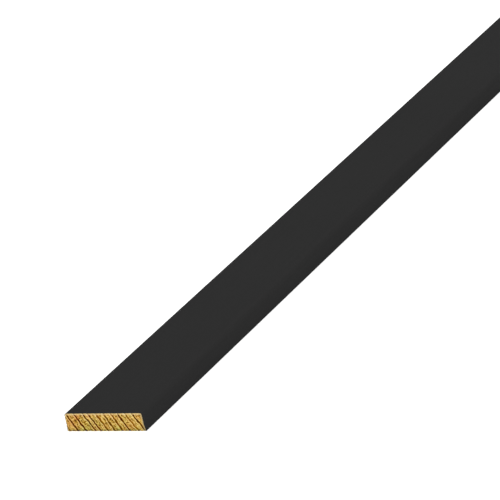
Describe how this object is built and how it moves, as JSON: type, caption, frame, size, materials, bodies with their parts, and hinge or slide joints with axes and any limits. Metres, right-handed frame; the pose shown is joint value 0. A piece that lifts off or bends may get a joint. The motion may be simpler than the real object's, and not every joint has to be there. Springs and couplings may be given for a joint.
{
  "type": "flat moulding",
  "caption": "Straight length of flat wooden moulding with a matt black painted face and edges, rounded front arrises and square sawn bare ends.",
  "frame": {"origin": "middle of the flat back face, halfway along the length", "axes": "+X across the width, +Y along the length away from the end that the picture shows, +Z out of the painted face"},
  "size_m": [0.042, 2.4, 0.009],
  "materials": {
    "moulding_strip": "matt black paint on the face and both edges, bare sawn pine at both ends and on the back"
  },
  "bodies": {
    "root": {"moulding_strip": "moulding_strip"}
  },
  "joints": []
}
